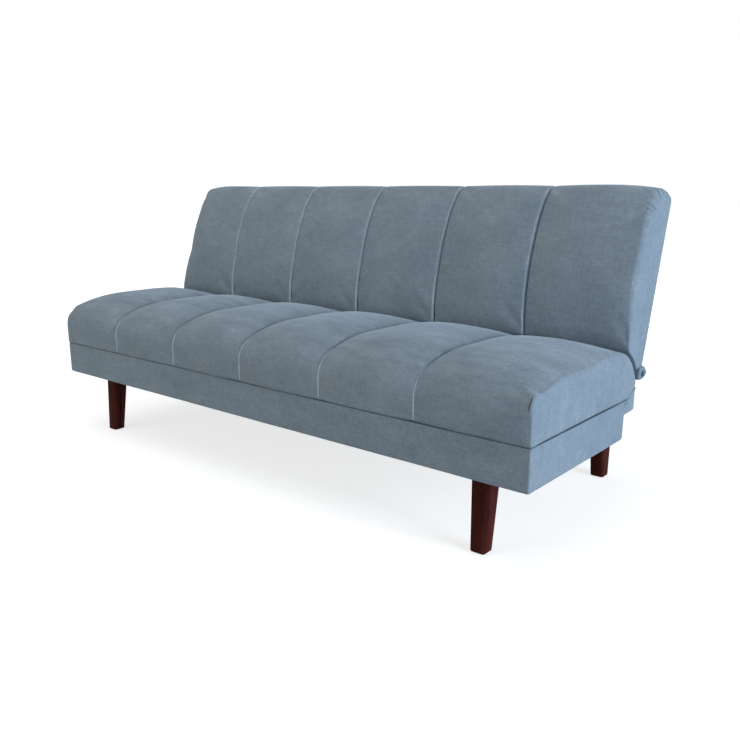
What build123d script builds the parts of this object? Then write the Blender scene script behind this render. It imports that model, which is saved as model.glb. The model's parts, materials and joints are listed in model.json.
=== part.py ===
"""Folding sofa bed: timber base on four legs, channelled seat and a channelled back that folds flat."""
from build123d import *
import os
from math import cos, radians, sin, sqrt

# Overall form
channel_count = 6
channel_width = 300.0
base_depth = 486.0
seat_depth = 549.0
cushion_height = 143.0
seat_swell = 12.0
back_length = 488.0
back_front = 117.5
back_rear = -13.0
back_swell = 12.0
back_lean = 15.5
end_draw = 16.0
end_roll = 26.0
end_swell = 8.0

# Profile of the seat, as depth behind the front and drop below the crown
front_drop = 87.0
nose_depth = 10.0
nose_drop = 54.0
shoulder_depth = 40.0
shoulder_drop = 29.0
slope_depth = 105.0
slope_drop = 9.0
crown_depth = 190.0

# Profile of the back's top, as drop below its length and distance behind its front or before its rear
brow_drop = 88.0
brow_set_back = 11.5
bend_drop = 56.5
bend_set_back = 20.0
turn_drop = 28.0
turn_set_back = 31.5
crest_drop = 10.5
crest_set_back = 45.6
top_set_back = 65.7
peak_rise = 3.5
peak_from_rear = 43.0
nape_drop = 1.0
nape_from_rear = 21.0
collar_drop = 7.5
collar_from_rear = 6.0
rear_top_drop = 23.0

# Legs and feet
leg_length = 196.5
leg_top_width = 52.0
leg_foot_width = 40.0
leg_edge_round = 8.0
leg_foot_round = 4.0
leg_side_inset = 153.5
leg_front_inset = 84.3
leg_rear_reach = 708.0
leg_splay = 1.7
front_leg_rake = 16.0
rear_leg_rake = 8.0
glide_radius = 11.0
glide_head = 2.5
glide_pin_radius = 2.5
glide_pin_length = 14.0
plate_width = 64.0
plate_thickness = 3.0
plate_screw_spread = 56.0
plate_screw_radius = 2.0
plate_screw_length = 18.0
plate_screw_head_radius = 3.4
plate_screw_head_height = 2.0
hanger_radius = 4.0
hanger_in_leg = 45.0
hanger_in_frame = 25.0

# Timber frame
cover_thickness = 3.0
rail_thickness = 22.0
base_rail_height = 65.0
seat_rail_height = 35.0
bearer_width = 70.0
bearer_height = 40.0
bearer_overhang = 42.0
rest_rail_depth = 45.0
rest_rail_height = 70.0
rest_pad_radius = 18.0
rest_pad_count = 4
rest_pad_bevel = 1.5
rest_rail_round = 4.0
corner_block_width = 40.0
underside_lip = 30.0
cover_corner_round = 4.0
dust_thickness = 1.0

# Seat springs and filling
springs_per_channel = 2
spring_wire_radius = 1.9
spring_half_width = 25.0
spring_bar_count = 10
spring_bend_share = 0.25
clip_width = 16.0
clip_depth = 8.0
clip_height = 7.0
insulator_thickness = 2.0
cover_padding = 10.0
core_end_gap = 15.0

# Back frame
back_rail_depth = 45.0
back_bottom_padding = 26.0
back_top_padding = 18.0
back_panel_thickness = 2.0
webbing_thickness = 2.0
webbing_width = 60.0
webbing_rows = 4
heel_front = 22.0
hollow_middle = 58.0
lip_drop = 22.5

# Hinges at both ends of the seat
pivot_behind_seat = 12.0
pivot_above_deck = 36.0
release_angle = 4.0
hinge_plate = 4.0
hinge_gap = 0.3
pin_radius = 5.0
pin_head_radius = 8.0
pin_head_length = 3.0
eye_radius = 12.0
arm_width = 24.0
arm_length = 190.0
arm_bolt_places = (120.0, 170.0)
ratchet_radius = 20.0
ratchet_root = 13.0
ratchet_stops = 3
tooth_angle = 13.0
tooth_undercut = 17.0
first_tooth_angle = -49.5
bracket_flange = 3.0
bracket_flange_width = 42.0
bracket_foot_drop = 34.0
bracket_web_reach = 23.0
bracket_bolt_places = (10.0, 28.0)
bolt_radius = 4.0
bolt_head_width = 13.0
bolt_head_height = 5.0
pawl_thickness = 3.4
pawl_pivot_back = 2.0
pawl_pivot_drop = 38.0
pawl_pin_radius = 3.0
pawl_pin_head_radius = 4.5
pawl_pin_head_length = 2.0
pawl_boss_radius = 6.0
pawl_nose_angle = -50.0
pawl_nose_gap = 2.4
pawl_nose_half = 2.0
pawl_root_half = 3.0
pawl_tail_half = 2.0
pawl_tail_forward = 3.0
pawl_tail_drop = 17.0
spring_leaf = 0.8
spring_foot_width = 4.0
spring_foot_height = 9.0
spring_overlap = 4.0
flap_reach = 23.0
flap_rise = 12.0
flap_fall = 20.0
flap_width = 29.0
flap_fullness = 0.7

# Clearances
running_gap = 0.05
fit_gap = 0.2
core_gap = 0.3
soft_gap = 0.5
slot_gap = 2.0

# Levels and limits that follow from the sizes above
half_width = channel_count * channel_width / 2
base_underside = glide_head + leg_length
frame_bottom = base_underside + cover_thickness
deck_level = frame_bottom + base_rail_height
cushion_bottom = deck_level + seat_rail_height
overhang_underside = deck_level - cover_thickness
rear_reach = leg_rear_reach + bearer_overhang
front_bulge_share = 0.7
front_y = (seat_swell * front_bulge_share - rear_reach) / 2
frame_half = half_width - cover_thickness
rail_half = frame_half - rail_thickness
leg_x = half_width - leg_side_inset
core_half = half_width - core_end_gap
seams = [(place - channel_count / 2) * channel_width for place in range(channel_count + 1)]
cross_rail_x = (seams[channel_count // 3], seams[-1 - channel_count // 3])
sides = ((-1, "left"), (1, "right"))


def y_at(depth):
    """Y of a point this far behind the front face of the base."""
    return front_y + depth


pivot_y = y_at(seat_depth + pivot_behind_seat)
pivot_z = cushion_bottom + pivot_above_deck
up = (sin(radians(back_lean)), cos(radians(back_lean)))
recline_travel = 90.0 - back_lean
front_face = y_at(cover_thickness)
rail_back = y_at(cover_thickness + rail_thickness)
base_back = y_at(base_depth - cover_thickness)
seat_back = y_at(seat_depth - cover_thickness)
leg_depths = (leg_front_inset, leg_rear_reach)
leg_places = [(side * leg_x, y_at(depth)) for depth in leg_depths for side, _ in sides]
foot_depths = (leg_front_inset - front_leg_rake, leg_rear_reach + rear_leg_rake)
foot_places = [(side * (leg_x + leg_splay), y_at(depth)) for depth in foot_depths for side, _ in sides]

os.makedirs("parts", exist_ok=True)


def save(piece, label):
    """Name a finished piece and write it to its own file."""
    piece.part.label = label
    export_step(piece.part, f"parts/{label}.step")


def block(x_span, y_span, z_span, mode=Mode.ADD):
    """A block between three pairs of limits, added to or cut from the current piece."""
    spans = (x_span, y_span, z_span)
    with Locations(tuple(sum(span) / 2 for span in spans)):
        Box(*(abs(span[1] - span[0]) for span in spans), mode=mode)


def rod(centre, radius, length, axis, mode=Mode.ADD):
    """A round bar about its centre along X, Y or Z of the sofa."""
    turn = {"X": (0, 90, 0), "Y": (90, 0, 0), "Z": (0, 0, 0)}[axis]
    with Locations(centre):
        Cylinder(radius, length, rotation=turn, mode=mode)


def back_plane(x):
    """Plane across the folding back: local x runs up the back and local y faces the sitter."""
    return Plane(origin=(x, pivot_y, pivot_z), x_dir=(0, *up), z_dir=(1, 0, 0))


def back_spot(rise, front):
    """Y and Z of a point of the back, from its rise above the pivot and its distance in front."""
    return (pivot_y + rise * up[0] - front * up[1], pivot_z + rise * up[1] + front * up[0])


def back_block(x_span, rise_span, front_span, mode=Mode.ADD):
    """A block that leans with the back, added to or cut from the current piece."""
    with BuildSketch(back_plane(min(x_span))) as face:
        with Locations((sum(rise_span) / 2, sum(front_span) / 2)):
            Rectangle(rise_span[1] - rise_span[0], front_span[1] - front_span[0])
    extrude(face.sketch, amount=abs(x_span[1] - x_span[0]), mode=mode)


# Base rails: a box of boards on edge, joined at the corners by blocks
with BuildPart() as base_front_rail:
    block((-frame_half, frame_half), (front_face, rail_back), (frame_bottom, deck_level))
save(base_front_rail, "base_front_rail")

bearer_top = frame_bottom + bearer_height
with BuildPart() as base_rear_rail:
    block((-rail_half, rail_half), (base_back - rail_thickness, base_back), (frame_bottom, deck_level))
    for side, _ in sides:
        notch_half = bearer_width / 2 + fit_gap
        notch = (side * leg_x - notch_half, side * leg_x + notch_half)
        rear_rail_span = (base_back - rail_thickness, base_back)
        block(notch, rear_rail_span, (frame_bottom, bearer_top + fit_gap), Mode.SUBTRACT)
save(base_rear_rail, "base_rear_rail")

for side, name in sides:
    with BuildPart() as base_end_rail:
        block((side * rail_half, side * frame_half), (rail_back, base_back), (frame_bottom, deck_level))
    save(base_end_rail, f"base_end_rail_{name}")

with BuildPart() as base_cross_rails:
    for x in cross_rail_x:
        cross_span = (x - rail_thickness / 2, x + rail_thickness / 2)
        block(cross_span, (rail_back, base_back - rail_thickness), (frame_bottom, deck_level))
save(base_cross_rails, "base_cross_rails")

with BuildPart() as corner_blocks:
    for side, _ in sides:
        block_span = (side * (rail_half - corner_block_width), side * rail_half)
        for start in (rail_back, base_back - rail_thickness - corner_block_width):
            block(block_span, (start, start + corner_block_width), (bearer_top, deck_level))
save(corner_blocks, "base_corner_blocks")

# Bearers under the base carry the legs and reach back to the rail that holds up the opened bed
for side, name in sides:
    with BuildPart() as leg_bearer:
        bearer_span = (side * leg_x - bearer_width / 2, side * leg_x + bearer_width / 2)
        block(bearer_span, (rail_back, y_at(rear_reach)), (frame_bottom, bearer_top))
        for place in leg_places:
            if place[0] * side > 0:
                hanger_top = base_underside + plate_thickness + hanger_in_frame
                with Locations((*place, (frame_bottom + hanger_top) / 2)):
                    Cylinder(hanger_radius + fit_gap, hanger_top - frame_bottom, mode=Mode.SUBTRACT)
                    with GridLocations(plate_screw_spread, plate_screw_spread, 2, 2):
                        Cylinder(plate_screw_radius + fit_gap, hanger_top - frame_bottom, mode=Mode.SUBTRACT)
    save(leg_bearer, f"leg_bearer_{name}")

rest_rail_half = leg_x + bearer_width / 2
rest_rail_top = bearer_top + rest_rail_height
rest_rail_span = (y_at(rear_reach - rest_rail_depth), y_at(rear_reach))
with BuildPart() as rear_rest_rail:
    block((-rest_rail_half, rest_rail_half), rest_rail_span, (bearer_top, rest_rail_top))
    fillet(rear_rest_rail.edges().filter_by(Axis.X), rest_rail_round)
save(rear_rest_rail, "rear_rest_rail")

bed_level = pivot_z + back_rear - core_gap
with BuildPart() as bed_rest_pads:
    pad_step = 2 * leg_x / (rest_pad_count - 1)
    for place in range(rest_pad_count):
        with BuildSketch(Plane.XY.offset(rest_rail_top)):
            with Locations((place * pad_step - leg_x, sum(rest_rail_span) / 2)):
                Circle(rest_pad_radius)
        extrude(amount=bed_level - rest_rail_top)
    chamfer(bed_rest_pads.faces().filter_by(Axis.Z).group_by(Axis.Z)[-1].edges(), rest_pad_bevel)
save(bed_rest_pads, "bed_rest_pads")

# Legs: square, tapered, with rounded edges, each raked a little away from the middle of the sofa
leg_number = 0
for row in ("front", "rear"):
    for side, name in sides:
        place, foot = leg_places[leg_number], foot_places[leg_number]
        leg_number += 1
        with BuildPart() as leg:
            for level, spot, width in (
                (glide_head, foot, leg_foot_width),
                (base_underside, place, leg_top_width),
            ):
                with BuildSketch(Plane.XY.offset(level)):
                    with Locations(spot):
                        RectangleRounded(width, width, leg_edge_round)
            loft(ruled=True)
            fillet(leg.faces().sort_by(Axis.Z)[0].edges(), leg_foot_round)
            hanger_hole = (*place, base_underside - hanger_in_leg / 2)
            rod(hanger_hole, hanger_radius + fit_gap, hanger_in_leg, "Z", Mode.SUBTRACT)
            pin_hole = (*foot, glide_head + glide_pin_length / 2)
            rod(pin_hole, glide_pin_radius + fit_gap, glide_pin_length, "Z", Mode.SUBTRACT)
        save(leg, f"leg_{row}_{name}")

with BuildPart() as foot_glides:
    for place in foot_places:
        rod((*place, glide_head / 2), glide_radius, glide_head, "Z")
    chamfer(foot_glides.faces().sort_by(Axis.Z)[: len(foot_places)].edges(), glide_head / 4)
    for place in foot_places:
        pin_top = glide_head + glide_pin_length - fit_gap
        rod((*place, pin_top / 2), glide_pin_radius, pin_top, "Z")
save(foot_glides, "foot_glides")

with BuildPart() as leg_plates:
    for place in leg_places:
        with Locations((*place, base_underside + plate_thickness / 2)):
            Box(plate_width, plate_width, plate_thickness)
            Cylinder(hanger_radius + fit_gap, plate_thickness, mode=Mode.SUBTRACT)
            with GridLocations(plate_screw_spread, plate_screw_spread, 2, 2):
                Cylinder(plate_screw_radius + fit_gap, plate_thickness, mode=Mode.SUBTRACT)
save(leg_plates, "leg_plates")

with BuildPart() as hanger_bolts:
    for place in leg_places:
        hanger_low = base_underside - hanger_in_leg
        hanger_high = base_underside + plate_thickness + hanger_in_frame
        rod((*place, (hanger_low + hanger_high) / 2), hanger_radius, hanger_high - hanger_low, "Z")
save(hanger_bolts, "leg_hanger_bolts")

with BuildPart() as plate_screws:
    for place in leg_places:
        with Locations((*place, base_underside)):
            with GridLocations(plate_screw_spread, plate_screw_spread, 2, 2):
                upward = (Align.CENTER, Align.CENTER, Align.MIN)
                downward = (Align.CENTER, Align.CENTER, Align.MAX)
                Cylinder(plate_screw_radius, plate_screw_length, align=upward)
                Cylinder(plate_screw_head_radius, plate_screw_head_height, align=downward)
save(plate_screws, "leg_plate_screws")

# Fabric cover of the base: stepped box with a lip turned under the rails
pivot_plane_x = half_width - core_end_gap - rail_thickness
web_outer = pivot_plane_x - hinge_plate - hinge_gap
bracket_inner = web_outer - bracket_flange_width
bracket_bolt_z = cushion_bottom - bracket_foot_drop / 2
bracket_bolts_x = [bracket_inner + place for place in bracket_bolt_places]
with BuildPart() as base_cover:
    block((-half_width, half_width), (y_at(0), y_at(base_depth)), (base_underside, deck_level))
    block((-half_width, half_width), (y_at(0), y_at(seat_depth)), (overhang_underside, cushion_bottom))
    fillet(base_cover.edges().filter_by(Axis.Z), cover_corner_round)
    block((-frame_half, frame_half), (front_face, base_back), (frame_bottom, cushion_bottom), Mode.SUBTRACT)
    block((-frame_half, frame_half), (front_face, seat_back), (deck_level, cushion_bottom), Mode.SUBTRACT)
    mouth_half = half_width - underside_lip
    mouth_span = (y_at(underside_lip), y_at(base_depth - underside_lip))
    block((-mouth_half, mouth_half), mouth_span, (base_underside, frame_bottom), Mode.SUBTRACT)
    for side, _ in sides:
        notch = (side * leg_x - bearer_width / 2 - fit_gap, side * leg_x + bearer_width / 2 + fit_gap)
        notch_depth = (base_back, y_at(base_depth))
        block(notch, notch_depth, (frame_bottom, bearer_top + fit_gap), Mode.SUBTRACT)
        for x in bracket_bolts_x:
            bolt_spot = (side * x, seat_back, bracket_bolt_z)
            rod(bolt_spot, bolt_radius + fit_gap, 2 * rail_thickness, "Y", Mode.SUBTRACT)
save(base_cover, "base_cover")

with BuildPart() as dust_cover:
    sheet_half = mouth_half - fit_gap
    sheet_span = (mouth_span[0] + fit_gap, mouth_span[1] - fit_gap)
    block((-sheet_half, sheet_half), sheet_span, (frame_bottom - dust_thickness, frame_bottom))
    plate_hole = plate_width + 2 * fit_gap
    for place in leg_places[:2]:
        with Locations((*place, frame_bottom)):
            Box(plate_hole, plate_hole, 2 * cover_thickness, mode=Mode.SUBTRACT)
save(dust_cover, "dust_cover")

# Seat frame on top of the base, running past it at the rear
with BuildPart() as seat_front_rail:
    block((-frame_half, frame_half), (front_face, rail_back), (deck_level, cushion_bottom))
save(seat_front_rail, "seat_front_rail")

with BuildPart() as seat_rear_rail:
    block((-rail_half, rail_half), (seat_back - rail_thickness, seat_back), (deck_level, cushion_bottom))
    for side, _ in sides:
        for x in bracket_bolts_x:
            bolt_spot = (side * x, seat_back, bracket_bolt_z)
            rod(bolt_spot, bolt_radius + fit_gap, 2 * rail_thickness, "Y", Mode.SUBTRACT)
save(seat_rear_rail, "seat_rear_rail")

for side, name in sides:
    with BuildPart() as seat_end_rail:
        block((side * rail_half, side * frame_half), (rail_back, seat_back), (deck_level, cushion_bottom))
    save(seat_end_rail, f"seat_end_rail_{name}")

with BuildPart() as seat_cross_rails:
    for x in cross_rail_x:
        cross_span = (x - rail_thickness / 2, x + rail_thickness / 2)
        block(cross_span, (rail_back, seat_back - rail_thickness), (deck_level, cushion_bottom))
save(seat_cross_rails, "seat_cross_rails")

# Zigzag seat springs in clips on the inner faces of the seat rails
spring_z = cushion_bottom - fit_gap - clip_height / 2
spring_start = rail_back + clip_depth / 2
spring_pitch = (seat_back - rail_thickness - clip_depth / 2 - spring_start) / (spring_bar_count - 1)
spring_step = channel_width / springs_per_channel
spring_total = channel_count * springs_per_channel
springs_x = [(place + 0.5) * spring_step - half_width for place in range(spring_total)]
zigzag = []
for bar in range(spring_bar_count):
    bar_side = spring_half_width if bar % 2 == 0 else -spring_half_width
    bar_y = spring_start + bar * spring_pitch
    zigzag += [(-bar_side, bar_y, spring_z), (bar_side, bar_y, spring_z)]
with BuildPart() as one_spring:
    with BuildLine() as spring_path:
        FilletPolyline(*zigzag, radius=spring_pitch * spring_bend_share)
    with BuildSketch(Plane(origin=spring_path.line @ 0, z_dir=spring_path.line % 0)):
        Circle(spring_wire_radius)
    sweep()
with BuildPart() as seat_springs:
    with Locations(*[(x, 0, 0) for x in springs_x]):
        add(one_spring.part)
save(seat_springs, "seat_springs")

with BuildPart() as spring_clips:
    for x in springs_x:
        for bar_y in (spring_start, spring_start + (spring_bar_count - 1) * spring_pitch):
            with Locations((x, bar_y, spring_z)):
                Box(clip_width, clip_depth, clip_height)
                Cylinder(spring_wire_radius + fit_gap, clip_width, rotation=(0, 90, 0), mode=Mode.SUBTRACT)
save(spring_clips, "seat_spring_clips")

# Seat outline from front foot to rear foot: depth, height, facing angle, shares of swell and draw
seat_outline = (
    (0.0, 0.0, 180.0, 0.0, 0.3),
    (0.0, cushion_height - front_drop, 180.0, front_bulge_share, 1.0),
    (nose_depth, cushion_height - nose_drop, 147.5, 0.85, 1.0),
    (shoulder_depth, cushion_height - shoulder_drop, 112.0, 1.0, 1.0),
    (slope_depth, cushion_height - slope_drop, 102.0, 1.0, 1.0),
    (crown_depth, cushion_height, 90.0, 1.0, 1.0),
    (seat_depth - cushion_height, cushion_height, 90.0, 1.0, 1.0),
    (seat_depth - cushion_height * (1 - sqrt(0.5)), cushion_height * sqrt(0.5), 45.0, 0.6, 0.8),
    (seat_depth, 0.0, 0.0, 0.0, 0.3),
)


def moved(first, second, facing, swell_share, draw_share, swell, draw, inset):
    """A point of an outline moved out by its shares of swell and draw, and in by the whole inset."""
    reach = swell * swell_share - draw * draw_share - inset
    return (first + reach * cos(radians(facing)), second + reach * sin(radians(facing)))


def seat_section(x, swell, draw=0.0, inset=0.0):
    """Upright slice through the seat cushion, fuller with more swell."""
    places = [moved(*row, swell, draw, inset) for row in seat_outline]
    spots = [(y_at(depth), cushion_bottom + height) for depth, height in places]
    with BuildSketch(Plane.YZ.offset(x)) as section:
        with BuildLine():
            Line(spots[0], spots[1])
            ThreePointArc(*spots[1:4])
            ThreePointArc(*spots[3:6])
            Line(spots[5], spots[6])
            ThreePointArc(*spots[6:9])
            Line(spots[8], spots[0])
        make_face()
    return section.sketch


def channelled(section, swell):
    """Sewn channels side by side, each a loft from seam to crown to seam, with rounded drawn-in ends."""
    for left, right in zip(seams, seams[1:]):
        slices = [(left, 0.0), ((left + right) / 2, swell), (right, 0.0)]
        if left == seams[0]:
            slices[0] = (left + end_roll, end_swell)
        if right == seams[-1]:
            slices[-1] = (right - end_roll, end_swell)
        loft([section(x, amount) for x, amount in slices])
    for side, _ in sides:
        thirds = [(half_width - end_roll * (1 - part), end_draw * part**2) for part in (0.0, 0.5, 1.0)]
        loft([section(side * x, end_swell, draw) for x, draw in thirds])


with BuildPart() as seat_cover:
    channelled(seat_section, seat_swell)
    extrude(seat_section(-core_half, 0.0, inset=cover_padding), amount=2 * core_half, mode=Mode.SUBTRACT)
save(seat_cover, "seat_cover")

with BuildPart() as seat_foam:
    foam_half = core_half - core_gap
    extrude(seat_section(-foam_half, 0.0, inset=cover_padding + core_gap), amount=2 * foam_half)
    foam_floor = (cushion_bottom, cushion_bottom + insulator_thickness)
    block((-half_width, half_width), (y_at(0), y_at(seat_depth)), foam_floor, Mode.SUBTRACT)
save(seat_foam, "seat_foam")

with BuildPart() as seat_insulator:
    pad_span = (y_at(cover_padding + core_gap), y_at(seat_depth - cover_padding - slot_gap))
    block((-foam_half, foam_half), pad_span, foam_floor)
save(seat_insulator, "seat_insulator")

# Folding back: hollowed below to clear the rear roll of the seat when it is pulled forward
hollow_radius = cushion_height + seat_swell + soft_gap
forward_lean = radians(back_lean - release_angle)
forward_up = (sin(forward_lean), cos(forward_lean))
roll_centre = (seat_depth - cushion_height, 0.0)
pivot_from_roll = (cushion_height + pivot_behind_seat, pivot_above_deck - roll_centre[1])


def hollow(front):
    """Rise of the hollow under the back at a distance in front of the pivot."""
    across = pivot_from_roll[0] - front * forward_up[1]
    upward = pivot_from_roll[1] + front * forward_up[0]
    along = across * forward_up[0] + upward * forward_up[1]
    return sqrt(along**2 - across**2 - upward**2 + hollow_radius**2) - along


lip_front = back_front - lip_drop
heel_rise = hollow(heel_front)
brow_rise = back_length - brow_drop
belly_rise = (hollow(lip_front) + brow_rise) / 2

# Back outline from rear heel to rear top: rise, front, facing angle, shares of swell and draw
back_outline = (
    (heel_rise, back_rear, 225.0, 0.0, 0.0),
    (heel_rise, heel_front, 150.0, 0.0, 0.3),
    (hollow(hollow_middle), hollow_middle, 145.0, 0.0, 0.5),
    (hollow(lip_front), lip_front, 120.0, 0.0, 0.8),
    (belly_rise, back_front, 91.0, 1.0, 1.0),
    (brow_rise, back_front - brow_set_back, 80.0, 1.0, 1.0),
    (back_length - bend_drop, back_front - bend_set_back, 71.6, 1.0, 1.0),
    (back_length - turn_drop, back_front - turn_set_back, 63.0, 1.0, 1.0),
    (back_length - crest_drop, back_front - crest_set_back, 39.0, 0.9, 1.0),
    (back_length, back_front - top_set_back, 15.0, 0.7, 1.0),
    (back_length + peak_rise, back_rear + peak_from_rear, 3.0, 0.6, 1.0),
    (back_length - nape_drop, back_rear + nape_from_rear, -20.0, 0.3, 0.6),
    (back_length - collar_drop, back_rear + collar_from_rear, -55.0, 0.0, 0.3),
    (back_length - rear_top_drop, back_rear, -90.0, 0.0, 0.0),
)


def back_section(x, swell, draw=0.0):
    """Slice across the folding back, fuller with more swell."""
    spots = [moved(*row, swell, draw, 0.0) for row in back_outline]
    with BuildSketch(back_plane(x)) as section:
        with BuildLine():
            Line(spots[0], spots[1])
            for start in range(1, len(spots) - 2, 2):
                ThreePointArc(*spots[start : start + 3])
            Line(spots[-1], spots[0])
        make_face()
    return section.sketch


core_bottom = heel_rise + back_bottom_padding
core_top = back_length - back_top_padding
frame_rear = back_rear + back_panel_thickness
frame_front = frame_rear + back_rail_depth
core_knee = frame_front + webbing_thickness + slot_gap
core_lip = lip_front - cover_padding


def back_core(x, rear, gap):
    """Slice of the space inside the back cover, from its rear to just under the front padding."""
    with BuildSketch(back_plane(x)) as section:
        with BuildLine():
            foot = (core_bottom + gap, rear)
            knee = (core_bottom + gap, core_knee)
            lip = (hollow(core_lip) + cover_padding + gap, core_lip - gap)
            belly = (belly_rise, back_front - cover_padding - gap)
            brow = (brow_rise, back_front - brow_set_back - cover_padding - gap)
            crest = (core_top - gap, back_front - crest_set_back - cover_padding - gap)
            head = (core_top - gap, rear)
            Polyline(foot, knee, lip)
            ThreePointArc(lip, belly, brow)
            Polyline(brow, crest, head, foot)
        make_face()
    return section.sketch


arm_front = arm_width + frame_rear
slot_span = (pivot_plane_x - hinge_plate - slot_gap, pivot_plane_x + slot_gap)
with BuildPart() as back_cover:
    channelled(back_section, back_swell)
    room_half = core_half + core_gap
    room = back_core(-room_half, back_rear - slot_gap, -core_gap)
    extrude(room, amount=2 * room_half, mode=Mode.SUBTRACT)
    for side, _ in sides:
        arm_slot = (side * slot_span[0], side * slot_span[1])
        slot_front = (back_rear - slot_gap, arm_front + slot_gap)
        back_block(arm_slot, (0.0, core_bottom + slot_gap), slot_front, Mode.SUBTRACT)
save(back_cover, "back_cover")

with BuildPart() as back_foam:
    extrude(back_core(-core_half, frame_front + webbing_thickness, core_gap), amount=2 * core_half)
save(back_foam, "back_foam")

with BuildPart() as back_panel:
    back_block((-core_half, core_half), (core_bottom, core_top), (back_rear, frame_rear))
save(back_panel, "outside_back_panel")

with BuildPart() as back_webbing:
    row_step = (core_top - core_bottom) / webbing_rows
    for row in range(webbing_rows):
        middle = core_bottom + (row + 0.5) * row_step
        strap_span = (middle - webbing_width / 2, middle + webbing_width / 2)
        back_block((-core_half, core_half), strap_span, (frame_front, frame_front + webbing_thickness))
save(back_webbing, "back_webbing")

frame_span = (frame_rear, frame_front)
for side, name in sides:
    with BuildPart() as back_end_rail:
        end_span = (side * pivot_plane_x, side * core_half)
        back_block(end_span, (core_bottom, core_top), frame_span)
        for place in arm_bolt_places:
            bolt_spot = (side * pivot_plane_x, *back_spot(place, (arm_front + frame_rear) / 2))
            rod(bolt_spot, bolt_radius + fit_gap, 2 * rail_thickness, "X", Mode.SUBTRACT)
    save(back_end_rail, f"back_end_rail_{name}")

with BuildPart() as back_top_rail:
    back_block((-pivot_plane_x, pivot_plane_x), (core_top - rail_thickness, core_top), frame_span)
save(back_top_rail, "back_top_rail")

bottom_rail_span = (core_bottom, core_bottom + rail_thickness)
with BuildPart() as back_bottom_rail:
    back_block((-pivot_plane_x, pivot_plane_x), bottom_rail_span, frame_span)
    for side, _ in sides:
        notch = (side * (pivot_plane_x - hinge_plate - fit_gap), side * pivot_plane_x)
        back_block(notch, bottom_rail_span, (frame_rear, arm_front + fit_gap), Mode.SUBTRACT)
save(back_bottom_rail, "back_bottom_rail")

with BuildPart() as back_stiles:
    for x in cross_rail_x:
        stile_span = (x - rail_thickness / 2, x + rail_thickness / 2)
        back_block(stile_span, (core_bottom + rail_thickness, core_top - rail_thickness), frame_span)
save(back_stiles, "back_stiles")

# Hinges: a bracket on the seat's rear rail, an arm with a ratchet rim on the back, a pin and a pawl
stop_step = recline_travel / (ratchet_stops - 1)
pawl_pivot = (pivot_y + pawl_pivot_back, pivot_z - pawl_pivot_drop)
bracket_foot = cushion_bottom - bracket_foot_drop
flange_back = y_at(seat_depth) + bracket_flange
arm_middle = (frame_rear + arm_front) / 2
nose_reach = ratchet_radius + pawl_nose_gap
nose_turn = radians(pawl_nose_angle)
pawl_nose = (pivot_y + nose_reach * cos(nose_turn), pivot_z + nose_reach * sin(nose_turn))
pawl_tail = (pawl_pivot[0] - pawl_tail_forward, pawl_pivot[1] - pawl_tail_drop)


def polar(radius, angle):
    """Point at a distance and an angle from the pivot."""
    return (radius * cos(radians(angle)), radius * sin(radians(angle)))


def tapered_bar(start, end, start_half, end_half):
    """Corners of a flat bar that narrows from one end to the other."""
    run = Vector(*end) - Vector(*start)
    across = Vector(-run.Y, run.X).normalized()
    first, last = Vector(*start), Vector(*end)
    corners = (first + across * start_half, last + across * end_half)
    return [*corners, last - across * end_half, first - across * start_half]


def hex_bolt(place, facing, length):
    """Bolt with a hexagon head on the given spot, its shank running into the timber behind."""
    with BuildSketch(Plane(origin=place, z_dir=facing)) as head:
        RegularPolygon(bolt_head_width / 2, 6, major_radius=False)
    extrude(head.sketch, amount=bolt_head_height)
    with BuildSketch(Plane(origin=place, z_dir=facing)) as shank:
        Circle(bolt_radius)
    extrude(shank.sketch, amount=-length)


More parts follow.
